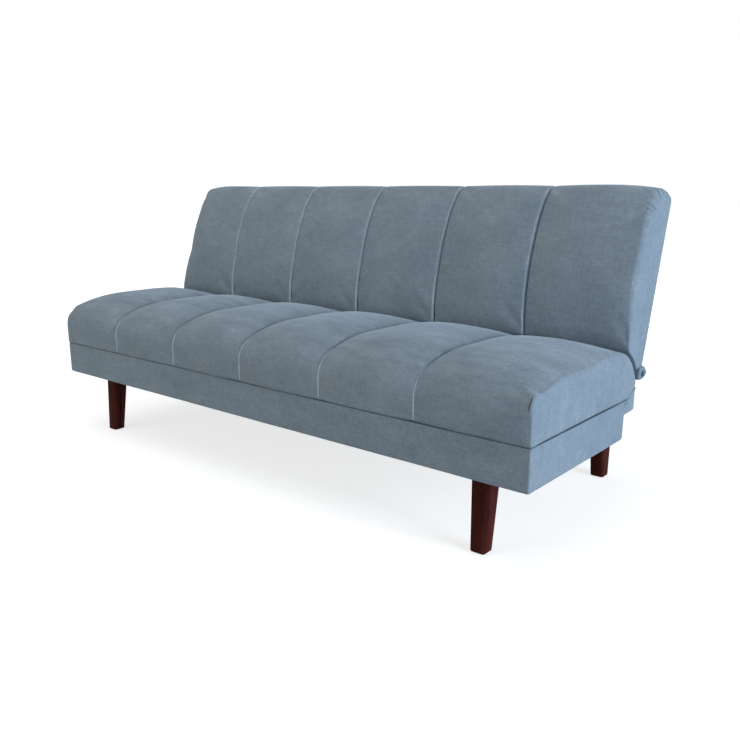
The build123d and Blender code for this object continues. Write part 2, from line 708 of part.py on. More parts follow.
for side, name in sides:
    with BuildPart() as bracket:
        with BuildSketch(Plane.YZ.offset(min(side * web_outer, side * (web_outer - hinge_plate)))):
            with BuildLine():
                Polyline(
                    (y_at(seat_depth), bracket_foot),
                    (y_at(seat_depth) + bracket_web_reach, bracket_foot),
                    (pivot_y + eye_radius, pivot_z),
                    (pivot_y - eye_radius, pivot_z),
                    (flange_back, cushion_bottom),
                    (y_at(seat_depth), cushion_bottom),
                    close=True,
                )
            make_face()
            with Locations((pivot_y, pivot_z)):
                Circle(eye_radius)
                Circle(pin_radius + running_gap, mode=Mode.SUBTRACT)
            with Locations(pawl_pivot):
                Circle(pawl_pin_radius + running_gap, mode=Mode.SUBTRACT)
        extrude(amount=hinge_plate)
        flange_span = (side * bracket_inner, side * (web_outer - hinge_plate / 2))
        block(flange_span, (y_at(seat_depth), flange_back), (bracket_foot, cushion_bottom))
        for x in bracket_bolts_x:
            bolt_spot = (side * x, y_at(seat_depth), bracket_bolt_z)
            rod(bolt_spot, bolt_radius + fit_gap, 4 * bracket_flange, "Y", Mode.SUBTRACT)
    save(bracket, f"hinge_bracket_{name}")

    with BuildPart() as arm:
        with BuildSketch(back_plane(min(side * pivot_plane_x, side * (pivot_plane_x - hinge_plate)))):
            with Locations((arm_length / 2, arm_middle)):
                Rectangle(arm_length, arm_width)
            Circle(ratchet_root)
            for stop in range(ratchet_stops):
                start = first_tooth_angle - recline_travel + stop * stop_step
                rim = [polar(ratchet_radius, start + part * tooth_angle / 2) for part in range(3)]
                root = polar(ratchet_root, start - tooth_undercut)
                with BuildLine():
                    ThreePointArc(*rim)
                    Polyline(rim[2], (0.0, 0.0), root, rim[0])
                make_face()
            Circle(pin_radius + running_gap, mode=Mode.SUBTRACT)
            with Locations(*[(place, arm_middle) for place in arm_bolt_places]):
                Circle(bolt_radius + fit_gap, mode=Mode.SUBTRACT)
        extrude(amount=hinge_plate)
    save(arm, f"hinge_arm_{name}")

    pin_inner = web_outer - hinge_plate
    pin_outer = pivot_plane_x + hinge_gap
    with BuildPart() as pin:
        pin_middle = (side * (pin_inner + pin_outer) / 2, pivot_y, pivot_z)
        rod(pin_middle, pin_radius, pin_outer - pin_inner, "X")
        for edge in (pin_inner - pin_head_length / 2, pin_outer + pin_head_length / 2):
            rod((side * edge, pivot_y, pivot_z), pin_head_radius, pin_head_length, "X")
    save(pin, f"hinge_pin_{name}")

    pawl_inner = web_outer + hinge_gap
    pawl_outer = pawl_inner + pawl_thickness
    with BuildPart() as pawl:
        with BuildSketch(Plane.YZ.offset(min(side * pawl_inner, side * pawl_outer))):
            Polygon(*tapered_bar(pawl_pivot, pawl_nose, pawl_root_half, pawl_nose_half), align=None)
            Polygon(*tapered_bar(pawl_pivot, pawl_tail, pawl_root_half, pawl_tail_half), align=None)
            with Locations(pawl_pivot):
                Circle(pawl_boss_radius)
                Circle(pawl_pin_radius + running_gap, mode=Mode.SUBTRACT)
        extrude(amount=pawl_thickness)
    save(pawl, f"pawl_{name}")

    with BuildPart() as flap:
        flap_heel = heel_rise - flap_fall
        with BuildSketch(back_plane(min(side * slot_span[1], side * (slot_span[1] + flap_width)))):
            with BuildLine():
                top = (heel_rise + flap_rise, back_rear)
                tip = (heel_rise, back_rear - flap_reach)
                heel = (flap_heel, back_rear - slot_gap)
                bulge = back_rear - flap_fullness * flap_reach
                ThreePointArc(top, (heel_rise + flap_rise, bulge), tip)
                ThreePointArc(tip, (heel_rise - flap_fall / 2, bulge), heel)
                Polyline(heel, (heel_rise, back_rear), top)
            make_face()
        extrude(amount=flap_width)
    save(flap, f"hinge_cover_{name}")

with BuildPart() as bracket_bolts:
    for side, _ in sides:
        for x in bracket_bolts_x:
            grip = bracket_flange + cover_thickness + rail_thickness
            hex_bolt((side * x, flange_back, bracket_bolt_z), (0, 1, 0), grip)
save(bracket_bolts, "hinge_bracket_bolts")

with BuildPart() as arm_bolts:
    for side, _ in sides:
        for place in arm_bolt_places:
            head_spot = (side * (pivot_plane_x - hinge_plate), *back_spot(place, arm_middle))
            hex_bolt(head_spot, (-side, 0, 0), hinge_plate + rail_thickness - fit_gap)
save(arm_bolts, "hinge_arm_bolts")

with BuildPart() as pawl_pins:
    for side, _ in sides:
        rivet_inner = web_outer - hinge_plate
        rivet_outer = pawl_outer + hinge_gap
        rivet_middle = (side * (rivet_inner + rivet_outer) / 2, *pawl_pivot)
        rod(rivet_middle, pawl_pin_radius, rivet_outer - rivet_inner, "X")
        for edge in (rivet_inner - pawl_pin_head_length / 2, rivet_outer + pawl_pin_head_length / 2):
            rod((side * edge, *pawl_pivot), pawl_pin_head_radius, pawl_pin_head_length, "X")
save(pawl_pins, "pawl_pins")

with BuildPart() as pawl_springs:
    leaf_back = pawl_tail[0] - pawl_tail_half - hinge_gap
    leaf_span = (leaf_back - spring_leaf, leaf_back)
    foot_low = bracket_foot + spring_leaf
    for side, _ in sides:
        foot_x = (side * web_outer, side * (web_outer + spring_leaf))
        foot_span = (leaf_back - spring_foot_width, leaf_back)
        block(foot_x, foot_span, (foot_low, foot_low + spring_foot_height))
        leaf_x = (side * web_outer, side * pawl_outer)
        block(leaf_x, leaf_span, (foot_low, pawl_tail[1] + spring_overlap))
save(pawl_springs, "pawl_springs")
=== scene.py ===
"""Looks of the folding sofa bed: sewn velvet covers, stained legs and a plain studio round the frame."""
import json
from math import atan2, cos, exp, pi, radians, sin

import bmesh
import bpy
import numpy as np
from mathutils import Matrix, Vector, noise


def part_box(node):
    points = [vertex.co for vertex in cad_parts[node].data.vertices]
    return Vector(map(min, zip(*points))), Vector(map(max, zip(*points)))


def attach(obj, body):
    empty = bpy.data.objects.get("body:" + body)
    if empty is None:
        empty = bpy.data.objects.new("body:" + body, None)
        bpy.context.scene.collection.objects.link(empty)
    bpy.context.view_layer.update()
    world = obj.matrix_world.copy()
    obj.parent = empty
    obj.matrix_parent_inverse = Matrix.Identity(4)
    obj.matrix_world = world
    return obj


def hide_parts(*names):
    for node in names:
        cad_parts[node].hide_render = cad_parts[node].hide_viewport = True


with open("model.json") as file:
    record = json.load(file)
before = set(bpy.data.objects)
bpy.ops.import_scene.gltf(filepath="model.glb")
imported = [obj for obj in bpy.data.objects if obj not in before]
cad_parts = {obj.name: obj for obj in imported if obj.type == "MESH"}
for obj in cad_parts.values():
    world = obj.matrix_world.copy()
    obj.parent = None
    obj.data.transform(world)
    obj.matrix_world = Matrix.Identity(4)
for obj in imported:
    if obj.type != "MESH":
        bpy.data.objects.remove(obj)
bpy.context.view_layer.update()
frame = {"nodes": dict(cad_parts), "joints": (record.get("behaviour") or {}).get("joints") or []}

# Places read from the frame, in metres

base_low, base_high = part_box("base_cover")
front_y = base_low.y
base_bottom = base_low.z
cushion_bottom = base_high.z
half_width = base_high.x
back_joint = next(joint for joint in frame["joints"] if joint["name"] == "backrest_fold")
pivot = Vector(back_joint["pos_m"])

# Sizes that several covers share

channel_count = 6
channel_width = 2 * half_width / channel_count
seams = [(place - channel_count / 2) * channel_width for place in range(1, channel_count)]
cushion_height = 0.143
seat_depth = 0.549
base_depth = 0.486
back_lean = radians(15.5)
tail_start = 0.484
tail_mid_depth = 0.521
tail_mid_rise = 0.0085
tail_rise = 0.034
seam_line = -0.0025
joint_width = 0.0011
side_edge_wave = 0.011
side_edge_reach = 0.012

# How finely the covers are divided

station_step = 0.012
station_digits = 5
end_steps = 10
end_ring_shares = (0.99, 0.96, 0.9, 0.82, 0.72, 0.6, 0.47, 0.33, 0.18)
seam_offsets = (0.0, 0.0007, 0.0015, 0.0025, 0.004, 0.006, 0.009, 0.014, 0.022)
seam_marks = [seam + side * offset for seam in seams for offset in seam_offsets for side in (-1, 1)]

# How the covers settle, swell as cloth and crease

settle_from = 0.7
settle_span = 0.3
swell_most = 0.004
swell_fade = 0.03
swell_frames = 20
cloth_pressure = 2.0
cloth_stiffness = 25
cloth_bending = 2
on_seam = 1e-4
crease_drift = 1.4
crease_drift_waves = 3
crease_depth_waves = 1.7
crease_width = 0.5
crease_level = 0.7


def arc_points(first, middle, last, steps):
    """Points of the circular arc through three points, the last one left out."""
    first, middle, last = (np.array(point, float) for point in (first, middle, last))
    sides = 2 * np.array([middle - first, last - first])
    centre = np.linalg.solve(sides, [middle @ middle - first @ first, last @ last - first @ first])
    angles = [atan2(*(point - centre)[::-1]) for point in (first, middle, last)]
    turns = [(b - a + pi) % (2 * pi) - pi for a, b in zip(angles, angles[1:])]
    sweep = angles[0] + sum(turns) * np.arange(steps) / steps
    return centre + np.linalg.norm(first - centre) * np.column_stack((np.cos(sweep), np.sin(sweep)))


def trace(rows, runs):
    """Closed outline from rows of two places and four traits, as lines and arcs of so many steps.

    Returns the points, their outward normals and the traits at each point: the share of the swell,
    the roundness towards the ends, and the swell at the right and the left end.
    """
    points, traits = [], []
    for places, steps in runs:
        picked = [rows[place] for place in places]
        ends = [row[:2] for row in picked]
        if len(picked) == 3:
            run = arc_points(*ends, steps)
            middle = np.argmin(np.linalg.norm(run - np.array(ends[1]), axis=1))
            along = np.interp(np.arange(steps), (0, middle, steps), (0, 1, 2))
        else:
            run = np.linspace(*np.array(ends), steps, endpoint=False)
            along = np.arange(steps) / steps
        points += list(run)
        knots = range(len(picked))
        columns = zip(*(row[2:] for row in picked))
        traits += list(np.column_stack([np.interp(along, knots, column) for column in columns]))
    points = np.array(points)
    tangents = np.roll(points, -1, 0) - np.roll(points, 1, 0)
    normals = np.column_stack((tangents[:, 1], -tangents[:, 0]))
    normals /= np.linalg.norm(normals, axis=1)[:, None]
    area = np.sum(points[:, 0] * np.roll(points[:, 1], -1) - points[:, 1] * np.roll(points[:, 0], -1))
    return points, normals * np.sign(area), np.array(traits)


def stations(low, high, roll, fixed, step):
    """X of each slice through a cover: at the fixed places, close together at the ends, even between."""
    ends = [roll * (1 - sin(pi / 2 * k / end_steps)) for k in range(end_steps + 1)]
    wanted = [*fixed, *(low + end for end in ends), *(high - end for end in ends)]
    marks = sorted({round(x, station_digits) for x in wanted})
    places = set(marks)
    for left, right in zip(marks, marks[1:]):
        count = round((right - left) / step)
        places |= {round(left + (right - left) * k / count, station_digits) for k in range(1, count)}
    return np.array(sorted(places))


def channels(tuck, tuck_width, crown, last_crown, right_power, left_power):
    """A swell for sewn channels: a tight tuck beside the seams, a soft crown, and a fall towards the ends.

    The last channel on the right has settled to a crown of its own.
    """

    def swell(x, share, right, left):
        nearest = min(abs(x - seam) for seam in seams)
        place = (x + half_width) / channel_width
        number = min(int(place), channel_count - 1)
        across = 2 * (place - number) - 1
        tucked = tuck * (1 - exp(-((nearest / tuck_width) ** 2)))
        height = last_crown if number == channel_count - 1 else crown
        if number == 0 and across < 0:
            fall = abs(across) ** left_power
            return (tucked + height) * share * (1 - fall) + left * fall
        if number == channel_count - 1 and across > 0:
            fall = across**right_power
            return (tucked + height) * share * (1 - fall) + right * fall
        return (tucked + height * (1 - across**2)) * share

    return swell


def settled(swell, most, full_x, none_x):
    """A swell whose full faces have sunk back, by the most up to one place and not at all past another."""

    def sunk(x, share, right, left):
        part = np.clip((none_x - x) / (none_x - full_x), 0, 1)
        full = np.clip((share - settle_from) / settle_span, 0, 1)
        return swell(x, share, right, left) - most * part**2 * (3 - 2 * part) * full

    return sunk


def plain(x, share, right, left):
    """No swell, for covers without channels."""
    return 0.0


class Cover:
    """A sewn cover made of slices side by side between two rounded ends, which rings close."""

    def __init__(self, name, outline, place, xs, middle, swell=plain):
        points, normals, traits = outline
        share, roll, right, left = traits.T
        low, high = xs[0], xs[-1]
        self.count = len(points)
        self.slices = len(xs)
        self.middle = np.array(middle)
        sections, spots, from_end = [], [], []
        for x in xs:
            inside = min(x - low, high - x)
            reach = np.clip(1 - inside / roll, 0, 1)
            move = swell(x, share, right, left) - roll * (1 - np.sqrt(1 - reach**2))
            sections.append(points + normals * move[:, None])
            spots.append(x)
            from_end.append(np.full(self.count, inside))
        for edge in (0, self.slices - 1):
            for ring_share in end_ring_shares:
                ring = self.shrunk(sections[edge], ring_share)
                from_end.append(np.linalg.norm(sections[edge] - ring, axis=1))
                sections.append(ring)
                spots.append(spots[edge])
        self.from_end = np.concatenate(from_end)
        ring_shares = np.concatenate((np.ones(self.slices), end_ring_shares, end_ring_shares))
        self.ring_share = np.repeat(ring_shares, self.count)
        self.in_ring = self.ring_share < 1
        steps = np.linalg.norm(np.roll(points, -1, 0) - points, axis=1)
        self.along = np.tile(np.cumsum(steps) - steps, len(spots))
        self.outline = np.tile(points, (len(spots), 1))
        vertices = [place(x, *point) for x, section in zip(spots, sections) for point in section]
        mesh = bpy.data.meshes.new(name)
        mesh.from_pydata(vertices, [], self.faces())
        self.piece = bpy.data.objects.new(name, mesh)
        bpy.context.scene.collection.objects.link(self.piece)
        outward(mesh)

    def shrunk(self, section, share):
        """A section drawn in towards the middle line of the end."""
        first, last = self.middle
        run = last - first
        part = np.clip((section - first) @ run / (run @ run), 0, 1)
        heart = first + part[:, None] * run
        return heart + (section - heart) * share

    def faces(self):
        """Quads between neighbouring slices and rings, and one face that closes each end."""
        count, rings = self.count, len(end_ring_shares)
        left = [0] + [self.slices + k for k in range(rings)]
        right = [self.slices - 1] + [self.slices + rings + k for k in range(rings)]
        middle = range(self.slices)
        made = []
        for a, b in [*zip(middle, middle[1:]), *zip(left[1:], left), *zip(right, right[1:])]:
            for k in range(count):
                follow = (k + 1) % count
                made.append((a * count + k, a * count + follow, b * count + follow, b * count + k))
        made.append([left[-1] * count + k for k in range(count)])
        made.append([right[-1] * count + k for k in reversed(range(count))])
        return made

    def swell_room(self):
        """How far each point may swell: freely in the open, less and less towards the ends."""
        return np.where(self.in_ring, 0.0, swell_most * np.clip(self.from_end / swell_fade, 0, 1))

    def push(self, amount):
        """Move every point out along its normal."""
        mesh = self.piece.data
        move_points(mesh, coordinates(mesh) + normals_of(mesh) * np.asarray(amount)[:, None])

    def bulge(self, most):
        """Crown the flat ends outward, most in their middle."""
        mesh = self.piece.data
        points = coordinates(mesh)
        points[:, 0] += np.sign(points[:, 0]) * most * (1 - self.ring_share**2)
        move_points(mesh, points)

    def puckers(self, wave, reach, seed):
        """Small gathers along the edges of the ends, from -1 to 1, which fade away from the edge."""
        spots = [(a / wave, seed, d / (3 * reach)) for a, d in zip(self.along, self.from_end)]
        return np.array([noise.noise(spot) for spot in spots]) * near(self.from_end, reach)

    def creases(self, wave, reach, slant, seed):
        """Fine creases that run in from the edges of the ends, from 0 between them to 1 along them."""
        shifts = np.array([noise.noise((a / (crease_drift_waves * wave), seed, 0.5)) for a in self.along])
        depths = np.array([noise.noise((a / (crease_depth_waves * wave), 0.5, seed)) for a in self.along])
        phase = (self.along + slant * self.from_end) / wave + crease_drift * shifts
        fade = near(self.from_end, np.where(self.in_ring, reach / 4, reach * (1 + depths)))
        return near(np.sin(pi * phase), crease_width) * fade * np.clip(crease_level + depths, 0, 1)

    def edge_only(self, values, reach=0.003):
        """Values that fade away from the edge on the flat ends."""
        return values * np.where(self.in_ring, near(self.from_end, reach), 1.0)

    def remember(self, name, values):
        """Keep a value from 0 to 1 at each point for the finish: the depth of painted shade or painted
        highlight.
        """
        layer = self.piece.data.attributes.new(name, "FLOAT", "POINT")
        layer.data.foreach_set("value", np.clip(values, 0, 1).astype(np.float32))


def near(distance, reach):
    """From 1 at no distance down to 0 well beyond the reach."""
    return np.exp(-((distance / reach) ** 2))


def outward(mesh):
    """Fill the ends with small faces, turn all faces outward and shade them smooth."""
    edit = bmesh.new()
    edit.from_mesh(mesh)
    bmesh.ops.triangulate(edit, faces=[face for face in edit.faces if len(face.verts) > 4])
    bmesh.ops.recalc_face_normals(edit, faces=edit.faces)
    edit.to_mesh(mesh)
    edit.free()
    mesh.shade_smooth()


def coordinates(mesh):
    """All points of a mesh as an array."""
    values = np.empty(len(mesh.vertices) * 3, np.float32)
    mesh.vertices.foreach_get("co", values)
    return values.reshape(-1, 3).astype(float)


def move_points(mesh, values):
    """Put the points of a mesh at new places."""
    mesh.vertices.foreach_set("co", np.asarray(values, np.float32).ravel())
    mesh.update()


def normals_of(mesh):
    """Outward normals at the points of a mesh."""
    values = np.empty(len(mesh.vertices) * 3, np.float32)
    mesh.vertices.foreach_get("normal", values)
    return values.reshape(-1, 3).astype(float)


def swell_with_cloth(piece, held, most):
    """Swell a cover as cloth under pressure, with some points held and every move capped."""
    group = piece.vertex_groups.new(name="held")
    group.add([int(k) for k in np.flatnonzero(held)], 1.0, "REPLACE")
    cloth = piece.modifiers.new("swell", "CLOTH")
    cloth.settings.vertex_group_mass = group.name
    cloth.settings.use_pressure = True
    cloth.settings.uniform_pressure_force = cloth_pressure
    cloth.settings.tension_stiffness = cloth_stiffness
    cloth.settings.compression_stiffness = cloth_stiffness
    cloth.settings.bending_stiffness = cloth_bending
    cloth.settings.effector_weights.gravity = 0
    cloth.collision_settings.use_collision = False
    cloth.point_cache.frame_end = swell_frames
    before = coordinates(piece.data)
    for number in range(1, swell_frames + 1):
        bpy.context.scene.frame_set(number)
    swollen = piece.evaluated_get(bpy.context.evaluated_depsgraph_get())
    move = coordinates(swollen.data) - before
    length = np.linalg.norm(move, axis=1)
    share = np.minimum(1, most / np.maximum(length, 1e-9))
    piece.modifiers.remove(cloth)
    piece.vertex_groups.remove(group)
    bpy.context.scene.frame_set(1)
    move_points(piece.data, before + move * share[:, None])


def subdivide(piece):
    """One subdivision over the finished shape."""
    smooth = piece.modifiers.new("smooth", "SUBSURF")
    smooth.levels = smooth.render_levels = 1


# Materials

noise_low = 0.3
noise_high = 0.7
brushed_tones = ((0.3, 0.82), (0.52, 1.0), (0.75, 1.22))
painted_shade_tones = ((0.05, 1.0), (0.8, 0.05))
highlight_tones = ((0.05, 1.0), (0.95, 2.7))
pore_tones = ((0.3, 0.6), (0.45, 1.0))
grain_high = 0.72
pile_turn = {"From Min": 0.45, "From Max": 0.92, "To Min": 0.4, "To Max": 1.0}


def new_material(name):
    """A node material with its node tree and its surface shader."""
    material = bpy.data.materials.new(name)
    material.use_nodes = True
    shader = material.node_tree.nodes["Principled BSDF"]
    return material, material.node_tree, shader


def add_node(tree, kind, **values):
    """A node of a kind, with its properties and inputs set by name."""
    node = tree.nodes.new(kind)
    for name, value in values.items():
        if name in node.inputs:
            node.inputs[name].default_value = value
        else:
            setattr(node, name, value)
    return node


def noise_at(tree, scale, detail, stretch=(1, 1, 1), roughness=0.55):
    """Noise in the part's own frame, in cells per metre, stretched along an axis where wanted."""
    place = add_node(tree, "ShaderNodeTexCoord")
    mapping = add_node(tree, "ShaderNodeMapping", Scale=stretch)
    texture = add_node(tree, "ShaderNodeTexNoise", Scale=scale, Detail=detail, Roughness=roughness)
    tree.links.new(place.outputs["Object"], mapping.inputs["Vector"])
    tree.links.new(mapping.outputs["Vector"], texture.inputs["Vector"])
    return texture.outputs["Fac"]


def grey(level):
    """A grey as a colour."""
    return (level, level, level)


def ramp(tree, source, stops):
    """Colours that follow a value, as pairs of place and colour."""
    node = add_node(tree, "ShaderNodeValToRGB")
    while len(node.color_ramp.elements) < len(stops):
        node.color_ramp.elements.new(0.5)
    for element, (place, colour) in zip(node.color_ramp.elements, stops):
        element.position = place
        element.color = (*colour, 1)
    tree.links.new(source, node.inputs["Fac"])
    return node.outputs["Color"]


def grey_ramp(tree, source, stops):
    """Greys that follow a value, as pairs of place and level."""
    return ramp(tree, source, [(place, grey(level)) for place, level in stops])


def tones(tree, source, dark, light):
    """From a dark to a light colour over the range that noise mostly takes."""
    return ramp(tree, source, [(noise_low, dark), (noise_high, light)])


def greys(tree, source, dark, light):
    """From a dark to a light grey over the range that noise mostly takes."""
    return tones(tree, source, grey(dark), grey(light))


def multiply(tree, first, second, share=1.0):
    """One colour multiplied by another."""
    node = add_node(tree, "ShaderNodeMix", data_type="RGBA", blend_type="MULTIPLY")
    if isinstance(share, float):
        node.inputs["Factor"].default_value = share
    else:
        tree.links.new(share, node.inputs["Factor"])
    tree.links.new(first, node.inputs[6])
    tree.links.new(second, node.inputs[7])
    return node.outputs[2]


def bump(tree, height, strength, distance, under=None):
    """Small relief from a value, on top of another relief if there is one."""
    node = add_node(tree, "ShaderNodeBump", Strength=strength, Distance=distance)
    tree.links.new(height, node.inputs["Height"])
    if under is not None:
        tree.links.new(under, node.inputs["Normal"])
    return node.outputs["Normal"]


def facing_up(tree):
    """Low where a surface stands upright, up to 1 where it faces up and people brush the pile."""
    geometry = add_node(tree, "ShaderNodeNewGeometry")
    parts = add_node(tree, "ShaderNodeSeparateXYZ")
    share = add_node(tree, "ShaderNodeMapRange", interpolation_type="SMOOTHSTEP", **pile_turn)
    tree.links.new(geometry.outputs["Normal"], parts.inputs[0])
    tree.links.new(parts.outputs["Z"], share.inputs["Value"])
    return share.outputs["Result"]


def velvet():
    """Short-pile blue-grey velvet: brushed patches, fine streaks, painted shade in seams and painted
    highlights beside them.
    """
    material, tree, shader = new_material("velvet")
    clouds = tones(tree, noise_at(tree, 7, 5), (0.173, 0.217, 0.258), (0.206, 0.251, 0.291))
    brushed = grey_ramp(tree, noise_at(tree, 14, 6, (0.6, 1.7, 1.0)), brushed_tones)
    along = greys(tree, noise_at(tree, 130, 4, (0.25, 1, 1)), 0.92, 1.08)
    across = greys(tree, noise_at(tree, 150, 4, (1, 0.3, 0.3)), 0.93, 1.07)
    threads = greys(tree, noise_at(tree, 330, 3), 0.86, 1.14)
    pile = noise_at(tree, 900, 2)
    # Painted shade: the colour is darkened where the point value tuck marks seams, gaps, creases and
    # hollows.
    tuck = add_node(tree, "ShaderNodeAttribute", attribute_name="tuck").outputs["Fac"]
    shade = grey_ramp(tree, tuck, painted_shade_tones)
    # Painted highlight: the colour is made paler along the flank just left of each seam, which faces the
    # light.
    painted_highlight = add_node(tree, "ShaderNodeAttribute", attribute_name="painted_highlight").outputs["Fac"]
    highlight_lift = grey_ramp(tree, painted_highlight, highlight_tones)
    colour = multiply(tree, clouds, brushed, facing_up(tree))
    for detail in (along, across, threads, shade, highlight_lift):
        colour = multiply(tree, colour, detail)
    tree.links.new(colour, shader.inputs["Base Color"])
    tree.links.new(greys(tree, noise_at(tree, 60, 3), 0.82, 0.95), shader.inputs["Roughness"])
    soft = bump(tree, noise_at(tree, 55, 4), 0.3, 0.0015)
    tree.links.new(bump(tree, pile, 0.35, 0.0005, soft), shader.inputs["Normal"])
    shader.inputs["Specular IOR Level"].default_value = 0.2
    shader.inputs["Sheen Weight"].default_value = 0.35
    shader.inputs["Sheen Roughness"].default_value = 0.4
    shader.inputs["Sheen Tint"].default_value = (0.72, 0.86, 1.0, 1)
    return material


def wood(name, dark, light, roughness):
    """Stained timber with grain along Z and open pores."""
    material, tree, shader = new_material(name)
    grain = noise_at(tree, 60, 8, (1, 1, 0.06), 0.65)
    rings = noise_at(tree, 14, 3, (1, 1, 0.1))
    pores = noise_at(tree, 420, 2, (1, 1, 0.04))
    streaks = ramp(tree, grain, [(noise_low, dark), (grain_high, light)])
    bands = greys(tree, rings, 0.75, 1.15)
    specks = grey_ramp(tree, pores, pore_tones)
    tree.links.new(multiply(tree, multiply(tree, streaks, bands), specks), shader.inputs["Base Color"])
    tree.links.new(greys(tree, grain, *roughness), shader.inputs["Roughness"])
    relief = bump(tree, grain, 0.15, 0.0005)
    tree.links.new(bump(tree, pores, 0.2, 0.0003, relief), shader.inputs["Normal"])
    shader.inputs["Specular IOR Level"].default_value = 0.01
    return material


def steel(name, colour, roughness, scale):
    """Metal with fine scratches and a patchy sheen."""
    material, tree, shader = new_material(name)
    dull = tuple(0.75 * part for part in colour)
    patches = tones(tree, noise_at(tree, scale, 5), dull, colour)
    scratches = noise_at(tree, 900, 2, (1, 0.05, 1))
    tree.links.new(patches, shader.inputs["Base Color"])
    tree.links.new(greys(tree, scratches, *roughness), shader.inputs["Roughness"])
    tree.links.new(bump(tree, scratches, 0.08, 0.0002), shader.inputs["Normal"])
    shader.inputs["Metallic"].default_value = 1.0
    return material


def matt(name, dark, light, scale, roughness, relief):
    """Matt cloth, foam, rubber or plastic: two tones of grain with a matching relief."""
    material, tree, shader = new_material(name)
    grain = noise_at(tree, scale, 5)
    tree.links.new(tones(tree, grain, dark, light), shader.inputs["Base Color"])
    patches = noise_at(tree, scale / 3, 3)
    tree.links.new(greys(tree, patches, *roughness), shader.inputs["Roughness"])
    tree.links.new(bump(tree, grain, relief, 0.001), shader.inputs["Normal"])
    return material


finishes = {
    "upholstery": velvet(),
    "leg_wood": wood("leg_wood", (0.025, 0.0058, 0.0048), (0.112, 0.028, 0.022), (0.45, 0.6)),
    "dark_timber": wood("dark_timber", (0.012, 0.0055, 0.004), (0.045, 0.02, 0.014), (0.45, 0.62)),
    "frame_timber": wood("frame_timber", (0.36, 0.23, 0.12), (0.6, 0.43, 0.26), (0.6, 0.8)),
    "foam": matt("foam", (0.55, 0.5, 0.35), (0.7, 0.66, 0.5), 500, (0.85, 0.95), 0.5),
    "felt": matt("felt", (0.16, 0.16, 0.17), (0.32, 0.32, 0.33), 350, (0.9, 1.0), 0.6),
    "webbing": matt("webbing", (0.05, 0.05, 0.055), (0.14, 0.14, 0.15), 600, (0.8, 0.95), 0.5),
    "dust_cloth": matt("dust_cloth", (0.012, 0.012, 0.013), (0.03, 0.03, 0.032), 500, (0.85, 0.98), 0.4),
    "rubber": matt("rubber", (0.012, 0.012, 0.012), (0.025, 0.025, 0.026), 220, (0.65, 0.8), 0.2),
    "glide_plastic": matt("glide_plastic", (0.02, 0.02, 0.022), (0.04, 0.04, 0.042), 300, (0.4, 0.55), 0.1),
    "zinc_steel": steel("zinc_steel", (0.68, 0.68, 0.66), (0.28, 0.45), 120),
    "hinge_steel": steel("hinge_steel", (0.09, 0.09, 0.095), (0.35, 0.55), 60),
    "spring_steel": steel("spring_steel", (0.42, 0.41, 0.4), (0.3, 0.5), 200),
}

for node in frame["nodes"].values():
    for material_slot in node.material_slots:
        material_slot.material = finishes[material_slot.material.name]


def dress(piece, body, slot, *nodes):
    """Give a piece its finish and its body, and let it stand for the nodes that it covers."""
    piece.data.materials.append(finishes[slot])
    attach(piece, body)
    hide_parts(*nodes)


# Painted shade along seams, gaps and the joint of the covers, and painted highlights beside the seams

joint_scale = 14
joint_level = 0.75
joint_share = 0.45
highlight_softness = 0.8


def beside_seam(points):
    """Signed distance of points from the nearest sewn seam, positive to its right."""
    offsets = points[:, :1] - np.array(seams)
    nearest = np.argmin(np.abs(offsets), axis=1)
    return offsets[np.arange(len(points)), nearest]


def from_seam(points):
    """Distance of points from the nearest sewn seam."""
    return np.abs(beside_seam(points))


def lit_seam_flank(points, width):
    """From 0 to 1 along a narrow band left of each seam, on the flank that faces the light, where a
    highlight is painted.
    """
    return near(beside_seam(points) + width, highlight_softness * width)


def joint_shade(points):
    """How deep the painted shade is along the gap between seat and base, which wavers from place to place.
    """
    wavers = np.array([noise.noise(Vector(point) * joint_scale) for point in points])
    return joint_level + joint_share * wavers


# Seat cushion, whose underside curves up at the rear

seat_roll = 0.006
seat_rows = (
    (0.0, seam_line, 0.15, 0.003, 0.001, 0.001),
    (0.0, cushion_height - 0.087, 0.42, 0.003, 0.001, 0.001),
    (0.010, cushion_height - 0.054, 0.68, 0.004, 0.011, 0.004),
    (0.0225, cushion_height - 0.0396, 0.8, 0.005, 0.007, 0.004),
    (0.0308, cushion_height - 0.0336, 0.83, 0.006, -0.001, 0.006),
    (0.040, cushion_height - 0.029, 0.85, seat_roll, -0.005, 0.009),
    (0.105, cushion_height - 0.009, 0.9, seat_roll, -0.014, 0.004),
    (0.190, cushion_height, 0.9, seat_roll, -0.015, 0.002),
    (0.290, cushion_height, 0.95, seat_roll, -0.017, 0.0),
    (0.385, cushion_height - 0.004, 1.0, seat_roll, -0.010, 0.001),
    (0.466, cushion_height - 0.0145, 0.5, seat_roll, -0.004, 0.003),
    (0.518, cushion_height - 0.050, 0.0, 0.006, -0.002, 0.0),
    (seat_depth, tail_rise, 0.0, 0.005, 0.0, 0.0),
    (tail_mid_depth, tail_mid_rise + seam_line, 0.0, 0.004, 0.0, 0.0),
    (tail_start, seam_line, 0.0, 0.004, 0.0, 0.0),
)
seat_runs = (
    ((0, 1), 8),
    ((1, 2, 3), 14),
    ((3, 4, 5), 6),
    ((5, 6, 7), 28),
    ((7, 8), 16),
    ((8, 9, 10), 30),
    ((10, 11, 12), 22),
    ((12, 13, 14), 8),
    ((14, 0), 22),
)
seat_middle = ((0.09, 0.06), (seat_depth - 0.10, 0.06))
seat_swell = channels(
    tuck=0.007, tuck_width=0.0045, crown=0.0145, last_crown=0.008, right_power=1.5, left_power=2.6
)
seat_bulge = 0.003
seat_lying = 0.001
seat_upper = 0.05
seat_gather = 0.0006
seat_crease = 0.0006
seat_crease_shade = 0.25
seat_joint_end = tail_start + 0.04
seat_dark_offset = 0.0004
